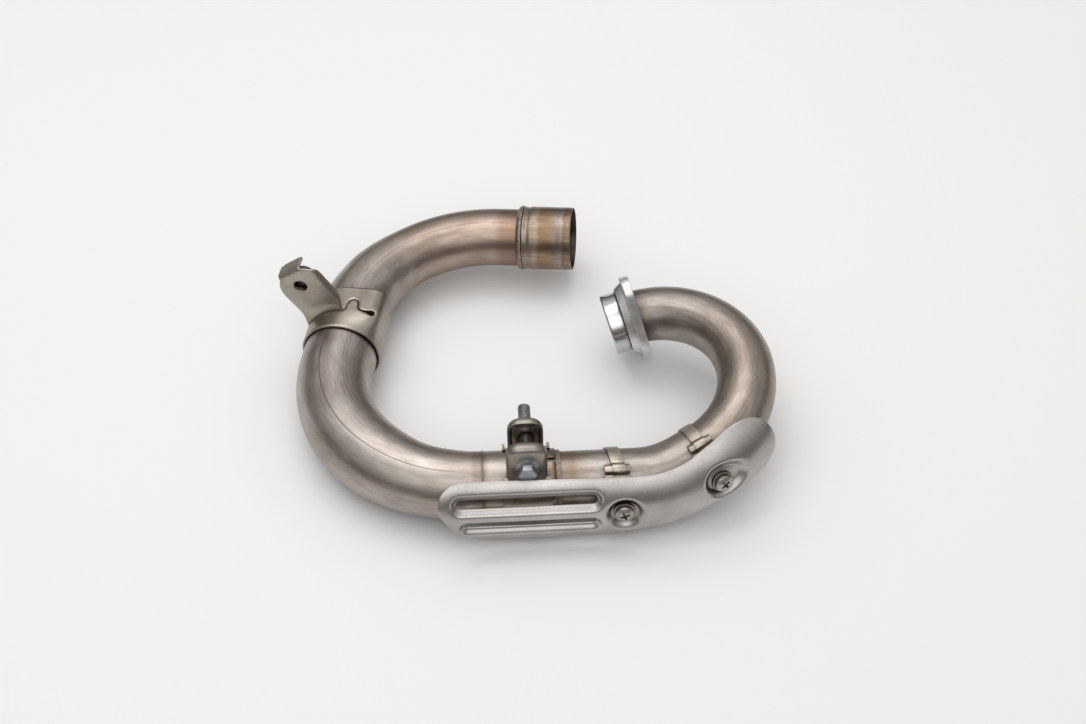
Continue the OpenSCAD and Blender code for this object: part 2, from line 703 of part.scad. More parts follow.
port_collar();
port_flange();
collar_weld();
front_pipe();
joint_gasket();
rear_pipe();
bell_weld();
tail_sleeve();
tail_weld();
joint_band();
joint_ear_near();
joint_ear_far();
joint_bolt();
joint_nut();
hanger_band();
strap_a();
saddle_a();
bush_a();
washer_a();
screw_a();
strap_b();
saddle_b();
bush_b();
washer_b();
screw_b();
heat_shield();
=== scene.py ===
import math

import bmesh
import bpy
import numpy as np
from mathutils import Matrix, Vector
from mathutils.geometry import delaunay_2d_cdt


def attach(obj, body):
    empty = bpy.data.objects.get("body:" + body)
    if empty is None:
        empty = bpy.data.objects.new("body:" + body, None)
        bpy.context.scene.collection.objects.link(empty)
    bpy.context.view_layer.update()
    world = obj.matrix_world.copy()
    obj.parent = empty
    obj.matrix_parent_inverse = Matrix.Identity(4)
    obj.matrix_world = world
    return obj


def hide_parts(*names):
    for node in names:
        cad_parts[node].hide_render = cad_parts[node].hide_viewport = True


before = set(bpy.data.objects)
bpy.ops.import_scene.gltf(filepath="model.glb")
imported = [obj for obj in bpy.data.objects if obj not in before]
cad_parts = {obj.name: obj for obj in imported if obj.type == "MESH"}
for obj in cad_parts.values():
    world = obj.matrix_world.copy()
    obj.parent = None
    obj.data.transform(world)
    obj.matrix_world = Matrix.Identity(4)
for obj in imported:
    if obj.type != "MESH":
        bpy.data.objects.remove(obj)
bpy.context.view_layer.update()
MM = 0.001
D = math.radians


# ---- frames along the two pipes, in millimetres ----
# Column 0 of the axes is the heading, column 1 points to the bend's centre.

def rx(a):
    c, s = math.cos(a), math.sin(a)
    return np.array([[1, 0, 0], [0, c, -s], [0, s, c]])


def ry(a):
    c, s = math.cos(a), math.sin(a)
    return np.array([[c, 0, s], [0, 1, 0], [-s, 0, c]])


def rz(a):
    c, s = math.cos(a), math.sin(a)
    return np.array([[c, -s, 0], [s, c, 0], [0, 0, 1]])


JOINT = np.array([21.2, -104.2, 25.17])
START = rz(D(3.35)) @ ry(D(-0.08)) @ rx(D(-0.05))


class Path:
    """A pipe's centre line from the slip joint on: straights, and bends of one radius."""

    def __init__(self, axes, segments, radius, end):
        """segments: (straight before the bend, roll about the heading, turn), in mm and degrees."""
        self.pieces = []
        self.radius = radius
        p, m, s, roll = JOINT.copy(), axes, 0.0, 0.0
        for straight, over, turn in segments:
            self.pieces.append(("run", s, p.copy(), m.copy(), roll))
            p = p + m[:, 0] * straight
            s += straight
            m = m @ rx(D(over))
            roll += over
            self.pieces.append(("arc", s, p.copy(), m.copy(), roll))
            centre = p + m[:, 1] * radius
            m = m @ rz(D(turn))
            p = centre - m[:, 1] * radius
            s += radius * D(turn)
        self.pieces.append(("run", s, p.copy(), m.copy(), roll))
        self.length = s + end

    def at(self, s):
        """Centre and axes at the place s; the axes don't roll along the pipe."""
        piece = self.pieces[0]
        for candidate in self.pieces:
            if s >= candidate[1] - 1e-9:
                piece = candidate
        kind, s0, p, m, roll = piece
        t = s - s0
        if kind == "run":
            return p + m[:, 0] * t, m @ rx(-D(roll))
        centre = p + m[:, 1] * self.radius
        turned = m @ rz(t / self.radius)
        return centre - turned[:, 1] * self.radius, turned @ rx(-D(roll))

    def point(self, s, el, r):
        """Point at the place s, elevation el in degrees (0 faces local -Y, 90 local +Z) and radius r."""
        p, m = self.at(s)
        return p + r * (-m[:, 1] * math.cos(D(el)) + m[:, 2] * math.sin(D(el)))


FRONT = Path(START, [(52, 35, 26.5), (13.5, -30.5, 166.5)], 63, 14)
REAR = Path(START @ rz(math.pi), [(52, 178.9, 100.2), (46, -3.4, 89)], 92, 56)


# ---- meshes ----

AROUND = 80      # points round a pipe
UV_LENGTH = 100  # mm along a pipe to one unit of v; u is the way round in turns


def rig(ob, node, body="header"):
    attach(ob, body)
    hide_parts(node)


def new_object(name, verts, faces, uvs, node, material):
    """verts in millimetres, uvs one for each corner of the faces."""
    me = bpy.data.meshes.new(name)
    me.from_pydata([tuple(float(c) * MM for c in v) for v in verts], [],
                   [tuple(int(i) for i in f) for f in faces])
    if uvs is not None:
        layer = me.uv_layers.new(name="UVMap")
        for corner, uv in zip(layer.data, uvs):
            corner.uv = uv
    me.update()
    ob = bpy.data.objects.new(name, me)
    bpy.context.scene.collection.objects.link(ob)
    me.polygons.foreach_set("use_smooth", [True] * len(me.polygons))
    me.materials.append(material)
    rig(ob, node)
    return ob


def sharp(ob, angle):
    """Edges sharper than the angle in degrees shade flat."""
    bm = bmesh.new()
    bm.from_mesh(ob.data)
    for e in bm.edges:
        e.smooth = len(e.link_faces) == 2 and e.calc_face_angle(0) < D(angle)
    bm.to_mesh(ob.data)
    bm.free()
    return ob


def stations(cuts, step=3):
    """The cuts, and even places between them that are at most a step apart."""
    out = [cuts[0]]
    for a, b in zip(cuts, cuts[1:]):
        n = max(1, int(math.ceil((b - a) / step)))
        out += [a + (b - a) * (i + 1) / n for i in range(n)]
    return out


def ringed(name, profile, centre, node, material, around=AROUND, gaps=()):
    """Wall of rings along a closed profile of (s, r).

    centre(s): the ring's middle and axes. gaps: (s0, s1, el0, el1) that are left open.
    """
    verts, faces, uvs = [], [], []
    for s, r in profile:
        p, m = centre(s)
        for j in range(around):
            a = 2 * math.pi * j / around
            verts.append(p + r * (-m[:, 1] * math.cos(a) + m[:, 2] * math.sin(a)))
    for i, (s, _) in enumerate(profile):
        k = (i + 1) % len(profile)
        middle = (s + profile[k][0]) / 2
        v1, v2 = s / UV_LENGTH, profile[k][0] / UV_LENGTH
        for j in range(around):
            el = 360 * (j + 0.5) / around
            if any(s0 <= middle <= s1 and (el - e0) % 360 <= e1 - e0 for s0, s1, e0, e1 in gaps):
                continue
            n = (j + 1) % around
            faces.append((i * around + j, k * around + j, k * around + n, i * around + n))
            uvs += [(j / around, v1), (j / around, v2), ((j + 1) / around, v2), ((j + 1) / around, v1)]
    return new_object(name, verts, faces, uvs, node, material)


def lathe(name, origin, axes, profile, node, material, around=AROUND):
    """profile of (x, r) about column 0 of the axes, closed."""
    return ringed(name, profile, lambda x: (origin + axes[:, 0] * x, axes), node, material, around)


def mark_bore(ob, first, around=AROUND):
    """Marks the rings from the first given one on as the wall's inner side, which the pipe material darkens: soot
    in the pipes, painted shade in the tab's nut.
    """
    att = ob.data.attributes.new("bore", "FLOAT", "POINT")
    for i in range(len(ob.data.vertices)):
        att.data[i].value = 1.0 if i // around >= first else 0.0


def dressed(node, material, width, segments=2, shape=None, body="header", name=None):
    """The solid's own shape with its edges broken, as tumbled or pressed metal has them."""
    name = name or node + "_dressed"
    me = bpy.data.meshes.new(name)
    bm = bmesh.new()
    bm.from_mesh(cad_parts[node].data)
    bmesh.ops.remove_doubles(bm, verts=bm.verts, dist=2e-6)
    bmesh.ops.dissolve_limit(bm, angle_limit=D(1.0), verts=bm.verts, edges=bm.edges)
    if shape:
        shape(bm)
    edges = [e for e in bm.edges if len(e.link_faces) == 2 and e.calc_face_angle(0) > 0.6]
    if width > 0 and edges:
        bmesh.ops.bevel(bm, geom=edges, offset=width * MM, offset_type="OFFSET", segments=segments,
                        profile=0.5, affect="EDGES", clamp_overlap=True)
    bm.to_mesh(me)
    bm.free()
    ob = bpy.data.objects.new(name, me)
    bpy.context.scene.collection.objects.link(ob)
    me.polygons.foreach_set("use_smooth", [True] * len(me.polygons))
    me.materials.append(material)
    rig(ob, node, body)
    sharp(ob, 32)


# ---- materials ----

# painted shade for creases and recesses
CREASE_SHADE = (0.055, 0.042, 0.033)
# dirt and painted shade where parts crowd the pipes
SOIL_AND_SHADE = (0.05, 0.038, 0.03)
# darkens inner walls: soot in the pipes, painted shade in the tab's nut
SOOT_AND_SHADE = (0.045, 0.036, 0.03)
STAIN = (0.2, 0.145, 0.115)
DIE_LINE = (0.15, 0.11, 0.09)
PIT = (0.2, 0.15, 0.11)


class Graph:
    """Shorthand for a node tree."""

    def __init__(self, tree):
        self.tree = tree

    def add(self, kind, **values):
        n = self.tree.nodes.new(kind)
        for k, v in values.items():
            if k in n.inputs.keys():
                n.inputs[k].default_value = v
            else:
                setattr(n, k, v)
        return n

    def link(self, a, b):
        self.tree.links.new(a, b)

    def feed(self, value, socket):
        """Sets the socket, or links it where the value is another socket."""
        if isinstance(value, (int, float)):
            socket.default_value = value
        elif isinstance(value, tuple):
            socket.default_value = (*value, 1)
        elif value is not None:
            self.link(value, socket)

    def ramp(self, fac, stops):
        n = self.add("ShaderNodeValToRGB")
        elements = n.color_ramp.elements
        while len(elements) < len(stops):
            elements.new(0.5)
        for e, (place, colour) in zip(elements, stops):
            e.position = place
            e.color = (*colour, 1)
        self.link(fac, n.inputs["Fac"])
        return n.outputs["Color"]

    def mix(self, fac, a, b, blend="MIX"):
        n = self.add("ShaderNodeMix", data_type="RGBA", blend_type=blend)
        for value, socket in ((fac, n.inputs[0]), (a, n.inputs[6]), (b, n.inputs[7])):
            self.feed(value, socket)
        return n.outputs[2]

    def math(self, op, a, b=None, c=None, clamp=False):
        n = self.add("ShaderNodeMath", operation=op)
        n.use_clamp = clamp
        for value, socket in zip((a, b, c), n.inputs):
            self.feed(value, socket)
        return n.outputs[0]


class Surface(Graph):
    """A metal's material."""

    def __init__(self, name):
        self.mat = bpy.data.materials.new(name)
        self.mat.use_nodes = True
        super().__init__(self.mat.node_tree)
        self.bsdf = self.tree.nodes["Principled BSDF"]
        self.coord = self.tree.nodes.new("ShaderNodeTexCoord")

    def noise(self, scale, detail=4, rough=0.55, vector=None):
        n = self.add("ShaderNodeTexNoise", Scale=scale, Detail=detail, Roughness=rough)
        self.link(vector or self.coord.outputs["Object"], n.inputs["Vector"])
        return n.outputs["Fac"]

    def uv(self):
        n = self.add("ShaderNodeSeparateXYZ")
        self.link(self.coord.outputs["UV"], n.inputs[0])
        return n.outputs[0], n.outputs[1]

    def round_vector(self, along, reach=1.0):
        """Seamless position on a pipe's wall: a circle for the way round and the place along it."""
        u, v = self.uv()
        a = self.math("MULTIPLY", u, 2 * math.pi)
        n = self.add("ShaderNodeCombineXYZ")
        self.link(self.math("MULTIPLY", self.math("COSINE", a), reach), n.inputs[0])
        self.link(self.math("MULTIPLY", self.math("SINE", a), reach), n.inputs[1])
        self.link(self.math("MULTIPLY", v, along), n.inputs[2])
        return n.outputs[0]

    def rescale(self, value, low, high, to_low, to_high, kind="LINEAR"):
        n = self.add("ShaderNodeMapRange", interpolation_type=kind)
        self.link(value, n.inputs["Value"])
        for key, number in (("From Min", low), ("From Max", high), ("To Min", to_low), ("To Max", to_high)):
            n.inputs[key].default_value = number
        return n.outputs["Result"]

    def band(self, value, centre, half, soft):
        """1 within half of the centre, falling to 0 over soft."""
        off = self.math("ABSOLUTE", self.math("SUBTRACT", value, centre))
        return self.rescale(off, half, half + soft, 1, 0, "SMOOTHSTEP")

    def spread(self, fac, low, high):
        """A noise's usual reach, stretched over low to high."""
        return self.rescale(fac, 0.25, 0.75, low, high)

    def bump(self, height, strength, distance):
        n = self.add("ShaderNodeBump", Strength=strength, Distance=distance)
        self.link(height, n.inputs["Height"])
        return n.outputs["Normal"]

    def shade_and_grime(self, colour, reach, dark, amount):
        """Painted shade where surfaces crowd together, from ambient occlusion; on the pipes it also stands for
        dirt.
        """
        n = self.add("ShaderNodeAmbientOcclusion", samples=6, Distance=reach)
        closed = self.math("SUBTRACT", 1.0, self.math("POWER", n.outputs["AO"], 1.3))
        return self.mix(self.math("MULTIPLY", closed, amount, clamp=True), colour, dark)

    def finish(self, colour, rough, normal):
        self.bsdf.inputs["Metallic"].default_value = 1.0
        self.link(colour, self.bsdf.inputs["Base Color"])
        self.link(rough, self.bsdf.inputs["Roughness"])
        self.link(normal, self.bsdf.inputs["Normal"])
        return self.mat


def plain_metal(name, dark, light, rough, scale, bump, shade_and_grime=(0.003, 0.9)):
    """Blotched satin metal. rough: its least and most; the last argument: the reach in metres and the amount of
    painted shade in creases and recesses.
    """
    k = Surface(name)
    blot = k.noise(scale, 5, 0.6)
    fine = k.noise(900, 3, 0.6)
    both = k.math("ADD", k.math("MULTIPLY", blot, 0.65), k.math("MULTIPLY", fine, 0.35))
    colour = k.ramp(both, [(0.35, dark), (0.65, light)])
    # painted shade: the colour darkens in creases and recesses
    colour = k.shade_and_grime(colour, shade_and_grime[0], CREASE_SHADE, shade_and_grime[1])
    return k.finish(colour, k.spread(k.noise(scale * 1.7), *rough), k.bump(fine, bump, 0.0002))


def pipe_metal(name, stops, tints=(), lines=(), rough=(0.28, 0.42), pits=0.0):
    """Satin bent tube with blotches and fine streaks along it.

    tints: (place, half width, soft edge, colour, amount), in mm along the pipe.
    lines: marks of the bending die as (way round in turns, width in turns, from, to, amount).
    """
    k = Surface(name)
    u, v = k.uv()
    blot = k.noise(1.6, 5, 0.6, k.round_vector(2.2))
    streak = k.noise(7.0, 4, 0.65, k.round_vector(0.9, 2.2))
    grain = k.noise(38.0, 3, 0.6, k.round_vector(6.0, 2.0))
    fine = k.math("ADD", k.math("MULTIPLY", streak, 0.25), k.math("MULTIPLY", grain, 0.3))
    colour = k.ramp(k.math("ADD", k.math("MULTIPLY", blot, 0.45), fine), stops)

    wander = k.math("SUBTRACT", k.noise(1.5, 3, vector=k.round_vector(0.6)), 0.5)
    place = k.math("ADD", v, k.math("MULTIPLY", wander, 0.05))
    for centre, half, soft, tint, amount in tints:
        here = k.band(place, centre / UV_LENGTH, half / UV_LENGTH, soft / UV_LENGTH)
        here = k.math("MULTIPLY", k.math("MULTIPLY", here, amount), k.spread(blot, 0.75, 1.1), clamp=True)
        colour = k.mix(here, colour, tint, "MULTIPLY")

    stain = k.spread(k.noise(2.6, 5, 0.7, k.round_vector(1.6, 1.4)), 0.0, 1.0)
    colour = k.mix(k.math("MULTIPLY", k.math("SUBTRACT", stain, 0.55, clamp=True), 0.9), colour, STAIN)
    height = k.math("ADD", k.math("MULTIPLY", grain, 0.6), k.math("MULTIPLY", streak, 0.3))
    roughness = k.spread(k.noise(3.0, vector=k.round_vector(2.0)), *rough)

    for way, width, start, stop, amount in lines:
        wander = k.math("SUBTRACT", k.noise(1.2, 2, vector=k.round_vector(1.0)), 0.5)
        across = k.math("ADD", u, k.math("MULTIPLY", wander, width * 0.8))
        across = k.band(across, way, width * 0.15, width * 0.7)
        along = k.band(v, (start + stop) / 2 / UV_LENGTH, (stop - start) / 2 / UV_LENGTH, 0.15)
        colour = k.mix(k.math("MULTIPLY", k.math("MULTIPLY", across, along), amount), colour, DIE_LINE)
    if pits:
        dots = k.add("ShaderNodeTexVoronoi", Scale=420)
        k.link(k.coord.outputs["Object"], dots.inputs["Vector"])
        pit = k.math("LESS_THAN", dots.outputs["Distance"], 0.19)
        pit = k.math("MULTIPLY", pit, k.math("GREATER_THAN", k.noise(70, 2), 0.5))
        colour = k.mix(k.math("MULTIPLY", pit, pits), colour, PIT)
    # painted shade where parts crowd the pipe, also standing for dirt near the straps and ears
    colour = k.shade_and_grime(colour, 0.01, SOIL_AND_SHADE, 0.85)
    # inner walls darkened: soot in the pipes, painted shade in the tab's nut
    bore = k.add("ShaderNodeAttribute", attribute_name="bore")
    colour = k.mix(k.math("MULTIPLY", bore.outputs["Fac"], 0.93), colour, SOOT_AND_SHADE)
    return k.finish(colour, roughness, k.bump(height, 0.07, 0.0003))


WARM = [(0.3, (0.165, 0.137, 0.116)), (0.48, (0.32, 0.28, 0.25)), (0.68, (0.51, 0.468, 0.437))]
PALE = [(0.3, (0.205, 0.166, 0.142)), (0.48, (0.38, 0.329, 0.293)), (0.68, (0.55, 0.503, 0.468))]
BROWN = [(0.34, (0.15, 0.112, 0.085)), (0.5, (0.3, 0.24, 0.19)), (0.64, (0.5, 0.43, 0.37))]

mat_front = pipe_metal(
    "front_tube", WARM,
    tints=[(4, 6, 6, (0.7, 0.56, 0.45), 0.7), (14, 3, 6, (0.82, 0.74, 0.62), 0.5),
           (283, 10, 16, (0.8, 0.64, 0.5), 0.7), (150, 40, 40, (0.92, 0.86, 0.8), 0.8)],
    lines=[(0.3, 0.004, 110, 260, 0.45), (0.33, 0.003, 120, 235, 0.4)], pits=0.7)
mat_rear = pipe_metal(
    "rear_tube", PALE,
    tints=[(0, 5, 7, (0.66, 0.5, 0.38), 0.8), (48, 2.5, 4, (0.55, 0.45, 0.36), 0.5),
           (385, 28, 70, (0.84, 0.7, 0.61), 0.75), (414, 5, 9, (0.66, 0.5, 0.4), 0.7)],
    lines=[(0.30, 0.005, 70, 205, 0.8), (0.185, 0.003, 90, 215, 0.45), (0.2, 0.0025, 100, 215, 0.45),
           (0.215, 0.003, 275, 400, 0.6), (0.235, 0.0025, 290, 390, 0.5)])
mat_sleeve = pipe_metal(
    "tail_sleeve_tint", BROWN,
    tints=[(-18.5, 4, 4.5, (0.8, 0.63, 0.44), 0.85), (-10.4, 1.2, 2.6, (0.75, 0.85, 1.0), 0.8),
           (-4.5, 0.8, 1.6, (0.55, 0.43, 0.32), 0.8), (-25.5, 0.8, 2.2, (1.5, 1.45, 1.4), 0.5),
           (-1.0, 1.0, 1.6, (0.55, 0.45, 0.36), 0.7)])
mat_collar = plain_metal("polished_collar", (0.5, 0.5, 0.51), (0.68, 0.68, 0.68), (0.12, 0.2), 40, 0.02)
mat_flange = plain_metal("flange_metal", (0.54, 0.54, 0.54), (0.78, 0.78, 0.775), (0.3, 0.48), 110, 0.3)
mat_weld = plain_metal("weld_metal", (0.2, 0.16, 0.13), (0.42, 0.36, 0.3), (0.35, 0.55), 200, 0.2)
mat_gasket = plain_metal("gasket_metal", (0.2, 0.17, 0.14), (0.36, 0.31, 0.26), (0.45, 0.65), 300, 0.3)
mat_clamp = plain_metal("clamp_sheet", (0.29, 0.24, 0.195), (0.5, 0.445, 0.38), (0.26, 0.42), 70, 0.08)
mat_ear = plain_metal("ear_sheet", (0.225, 0.2, 0.17), (0.38, 0.345, 0.305), (0.3, 0.44), 70, 0.08)
mat_hanger = plain_metal("hanger_sheet", (0.275, 0.235, 0.195), (0.46, 0.41, 0.355), (0.27, 0.42), 45, 0.1)
mat_bolt = plain_metal("bolt_metal", (0.2, 0.21, 0.23), (0.42, 0.43, 0.45), (0.3, 0.5), 160, 0.15)
mat_nut = pipe_metal("nut_metal", WARM)
# the screws' cross recesses get strong painted shade
mat_screw = plain_metal("screw_metal", (0.3, 0.27, 0.24), (0.5, 0.465, 0.43), (0.25, 0.4), 160, 0.08,
                        (0.003, 1.6))
mat_strap = plain_metal("strap_sheet", (0.33, 0.275, 0.225), (0.54, 0.48, 0.42), (0.28, 0.42), 70, 0.08)
# painted shade darkens the shield where parts crowd it, as round the screws
mat_shield = plain_metal("shield_sheet", (0.36, 0.335, 0.32), (0.53, 0.505, 0.49), (0.27, 0.36), 26, 0.015,
                         (0.004, 0.9))


# ---- tubes ----

WALL = 1.2


def smoothstep(t):
    t = min(1.0, max(0.0, t))
    return t * t * (3 - 2 * t)


def smooth_fit(xs, ys):
    """Radius that eases from each given one to the next."""
    def radius(s):
        if s <= xs[0]:
            return ys[0]
        for a, b, ya, yb in zip(xs, xs[1:], ys, ys[1:]):
            if s <= b:
                return ya + (yb - ya) * smoothstep((s - a) / (b - a))
        return ys[-1]
    return radius


def tube(name, path, outer, node, material, gaps=()):
    """Pipe of even wall; outer: (s, r) along its outside."""
    profile = outer + [(s, r - WALL) for s, r in reversed(outer)]
    ob = ringed(name, profile, path.at, node, material, gaps=gaps)
    mark_bore(ob, len(outer) + 1)


front_r = smooth_fit([0, 80, 170, 240, 278], [19.03, 19.15, 19.15, 18.6, 18.2])
tube("front_tube", FRONT, [(s, front_r(s)) for s in stations([-40, 0, 52, 81, 94.6, 277.7, 289.6])],
     "front_pipe", mat_front)

# the bell has four slots, and the tail a small lip
BELL_R = 21.2
SLOT_LENGTH, SLOT_HALF = 16, 4.6
rear_r = smooth_fit([46, 74, 130, 214, 252, 295, 341, 428], [21.3, 22.5, 25.05, 25.05, 24.6, 22.95, 20.7, 20.7])
tube("rear_tube", REAR,
     [(s, BELL_R) for s in stations([0, SLOT_LENGTH, 40, 46])]
     + [(s, rear_r(s)) for s in stations([47, 52, 100, 213, 259, 402, 422])] + [(424, 21.3), (427, 21.68)],
     "rear_pipe", mat_rear, [(0, SLOT_LENGTH, el - SLOT_HALF, el + SLOT_HALF) for el in (90, 180, 270, 360)])

# sleeve at the tail: bead, ring and a lightly rounded mouth
tail, tail_axes = REAR.at(REAR.length)
sleeve_profile = [
    (-36, 21.76), (-36, 22.3), (-35.5, 22.75), (-34.8, 22.9), (-34, 22.75), (-33.2, 22.45), (-32, 22.4),
    (-31, 22.6), (-30.2, 22.95), (-29.4, 23), (-28.5, 22.9), (-27, 22.8), (-20, 22.75), (-11.5, 22.72),
    (-10.8, 22.6), (-10.1, 22.72), (-1.2, 22.7), (-0.4, 22.6), (0, 22.35), (0, 22.15), (-0.5, 22),
    (-12, 22), (-28.5, 22), (-29, 21.76)]
mark_bore(lathe("sleeve", tail, tail_axes, sleeve_profile, "tail_sleeve", mat_sleeve), 19)

# collar with broken edges; x runs back from the port's mouth
port, port_axes = FRONT.at(FRONT.length)
collar_profile = [
    (0.9, 17.9), (0.15, 18.6), (0, 19.2), (0, 20.0), (0.25, 20.6), (0.9, 20.95), (1.6, 21.0), (8, 21.0),
    (13.9, 21.0), (13.9, 19.2), (5, 19.15), (2.6, 19.13), (2.1, 19.0), (1.9, 17.9)]
lathe("collar", port, port_axes @ rz(math.pi), collar_profile, "port_collar", mat_collar)


# ---- pieces that keep their solids ----

for node, slot, material, width in (
        ("joint_gasket", "gasket_graphite", mat_gasket, 0), ("collar_weld", "weld_steel", mat_weld, 0),
        ("bell_weld", "weld_steel", mat_weld, 0), ("tail_weld", "weld_steel", mat_weld, 0),
        ("joint_band", "clamp_steel", mat_clamp, 0.3), ("joint_bolt", "bolt_steel", mat_bolt, 0.35),
        ("joint_nut", "bolt_steel", mat_bolt, 0.35), ("strap_a", "clamp_steel", mat_strap, 0.25),
        ("strap_b", "clamp_steel", mat_strap, 0.25), ("saddle_a", "clamp_steel", mat_strap, 0.25),
        ("saddle_b", "clamp_steel", mat_strap, 0.25), ("bush_a", "bolt_steel", mat_bolt, 0.3),
        ("bush_b", "bolt_steel", mat_bolt, 0.3), ("washer_a", "screw_steel", mat_screw, 0.25),
        ("washer_b", "screw_steel", mat_screw, 0.25), ("screw_a", "screw_steel", mat_screw, 0.25),
        ("screw_b", "screw_steel", mat_screw, 0.25)):
    dressed(node, material, width)


def slim_boss(bm):
    """Draws the flange's turned boss in to a cone that runs into the plate."""
    heading = Vector(-port_axes[:, 0])
    mouth = Vector(port) * MM
    for v in bm.verts:
        away = v.co - mouth
        x = away.dot(heading)
        radial = away - heading * x
        if x < 0.0168 and 0.0262 < radial.length < 0.0268:
            v.co = mouth + heading * x + radial.normalized() * (0.0228 if x < 0.012 else 0.0255)


dressed("port_flange", mat_flange, 0.7, 3, slim_boss, "flange", "flange_dressed")


# ---- sheets: flat coordinates in millimetres, bent and pressed into place ----

def in_polygon(poly, x, y):
    a, b = poly, np.roll(poly, -1, 0)
    slope = (b[:, 0] - a[:, 0]) * (y - a[:, 1]) / (b[:, 1] - a[:, 1] + 1e-12)
    return (((a[:, 1] > y) != (b[:, 1] > y)) & (x < slope + a[:, 0])).sum() % 2 == 1


def circle(x, y, r, n):
    return [(x + r * math.cos(2 * math.pi * i / n), y + r * math.sin(2 * math.pi * i / n)) for i in range(n)]


def smooth_loop(points, step):
    """Closed Catmull-Rom curve through the points, evenly spaced."""
    pts = np.array(points, float)
    n = len(pts)
    dense = []
    for i in range(n):
        p0, p1, p2, p3 = pts[i - 1], pts[i], pts[(i + 1) % n], pts[(i + 2) % n]
        for t in np.linspace(0, 1, 24, endpoint=False):
            dense.append(0.5 * (2 * p1 + (p2 - p0) * t + (2 * p0 - 5 * p1 + 4 * p2 - p3) * t * t
                                + (3 * p1 - p0 - 3 * p2 + p3) * t ** 3))
    closed = np.array(dense + dense[:1])
    gone = np.concatenate([[0], np.cumsum(np.linalg.norm(closed[1:] - closed[:-1], axis=1))])
    count = int(gone[-1] / step)
    places = [gone[-1] * i / count for i in range(count)]
    return [(np.interp(t, gone, closed[:, 0]), np.interp(t, gone, closed[:, 1])) for t in places]


def flat_faces(outline, loops, spacing, is_open):
    """Triangles over the loops' points and a staggered grid.

    spacing: the grid's two steps and its distance from the loops.
    """
    pts, edges = [], []
    for loop in [outline] + loops:
        k = len(pts)
        pts += [Vector(q) for q in loop]
        edges += [(k + i, k + (i + 1) % len(loop)) for i in range(len(loop))]
    near = np.array([(q[0], q[1]) for q in pts])
    poly = np.array(outline)
    lo, hi = poly.min(0), poly.max(0)
    dx, dy, clear = spacing
    x, row = lo[0] + dx / 2, 0
    while x < hi[0]:
        y = lo[1] + (dy / 2 if row % 2 else 0.2)
        while y < hi[1]:
            if np.min((near[:, 0] - x) ** 2 + (near[:, 1] - y) ** 2) > clear ** 2:
                pts.append(Vector((x, y)))
            y += dy
        x += dx
        row += 1
    v, _, f, *_ = delaunay_2d_cdt(pts, edges, [], 0, 1e-4)
    faces = []
    for tri in f:
        cx = sum(v[i][0] for i in tri) / 3
        cy = sum(v[i][1] for i in tri) / 3
        if in_polygon(poly, cx, cy) and not is_open(cx, cy):
            faces.append(tuple(tri))
    used = sorted({i for t in faces for i in t})
    renumbered = {i: k for k, i in enumerate(used)}
    return [(v[i][0], v[i][1]) for i in used], [tuple(renumbered[i] for i in t) for t in faces]


def sheet(name, outline, loops, spacing, is_open, place, outward, half, reach, node, material):
    """Sheet of thickness 2 * half whose rounded rims stand reach past the outline. place(x, y) puts it in space."""
    flat, faces = flat_faces(outline, loops, spacing, is_open)
    P = np.array([place(x, y) for x, y in flat])
    N = np.zeros_like(P)
    for a, b, c in faces:
        n = np.cross(P[b] - P[a], P[c] - P[a])
        N[a] += n
        N[b] += n
        N[c] += n
    N /= np.linalg.norm(N, axis=1)[:, None]
    if (N * np.array([outward(x, y) for x, y in flat])).sum() < 0:
        N = -N
        faces = [tuple(reversed(t)) for t in faces]
    count = len(P)
    sides = {(t[i], t[(i + 1) % 3]): 1 for t in faces for i in range(3)}
    boundary = [(a, b) for a, b in sides if (b, a) not in sides]
    rim = sorted({i for side in boundary for i in side})
    outside = {i: np.zeros(3) for i in rim}
    for a, b in boundary:
        d = np.cross(P[b] - P[a], N[a] + N[b])
        d /= np.linalg.norm(d)
        outside[a] += d
        outside[b] += d
    verts = [*(P + N * half), *(P - N * half)]
    rows = []
    for lift, far in ((0.62, 0.76), (0.0, 1.0), (-0.62, 0.76)):
        rows.append({i: len(verts) + k for k, i in enumerate(rim)})
        verts += [P[i] + N[i] * half * lift + outside[i] / max(1e-9, np.linalg.norm(outside[i])) * reach * far
                  for i in rim]
    allf = list(faces) + [tuple(i + count for i in reversed(t)) for t in faces]
    for a, b in boundary:
        chain_a = [a, rows[0][a], rows[1][a], rows[2][a], a + count]
        chain_b = [b, rows[0][b], rows[1][b], rows[2][b], b + count]
        allf += [(chain_b[i], chain_a[i], chain_a[i + 1], chain_b[i + 1]) for i in range(4)]
    where = {}
    for i, (x, y) in enumerate(flat):
        where[i] = where[i + count] = (x / UV_LENGTH, y / UV_LENGTH)
    for row in rows:
        for i, k in row.items():
            where[k] = where[i]
    return new_object(name, verts, allf, [where[i] for t in allf for i in t], node, material)


# ---- heat shield, in places along the front pipe and the way round it ----

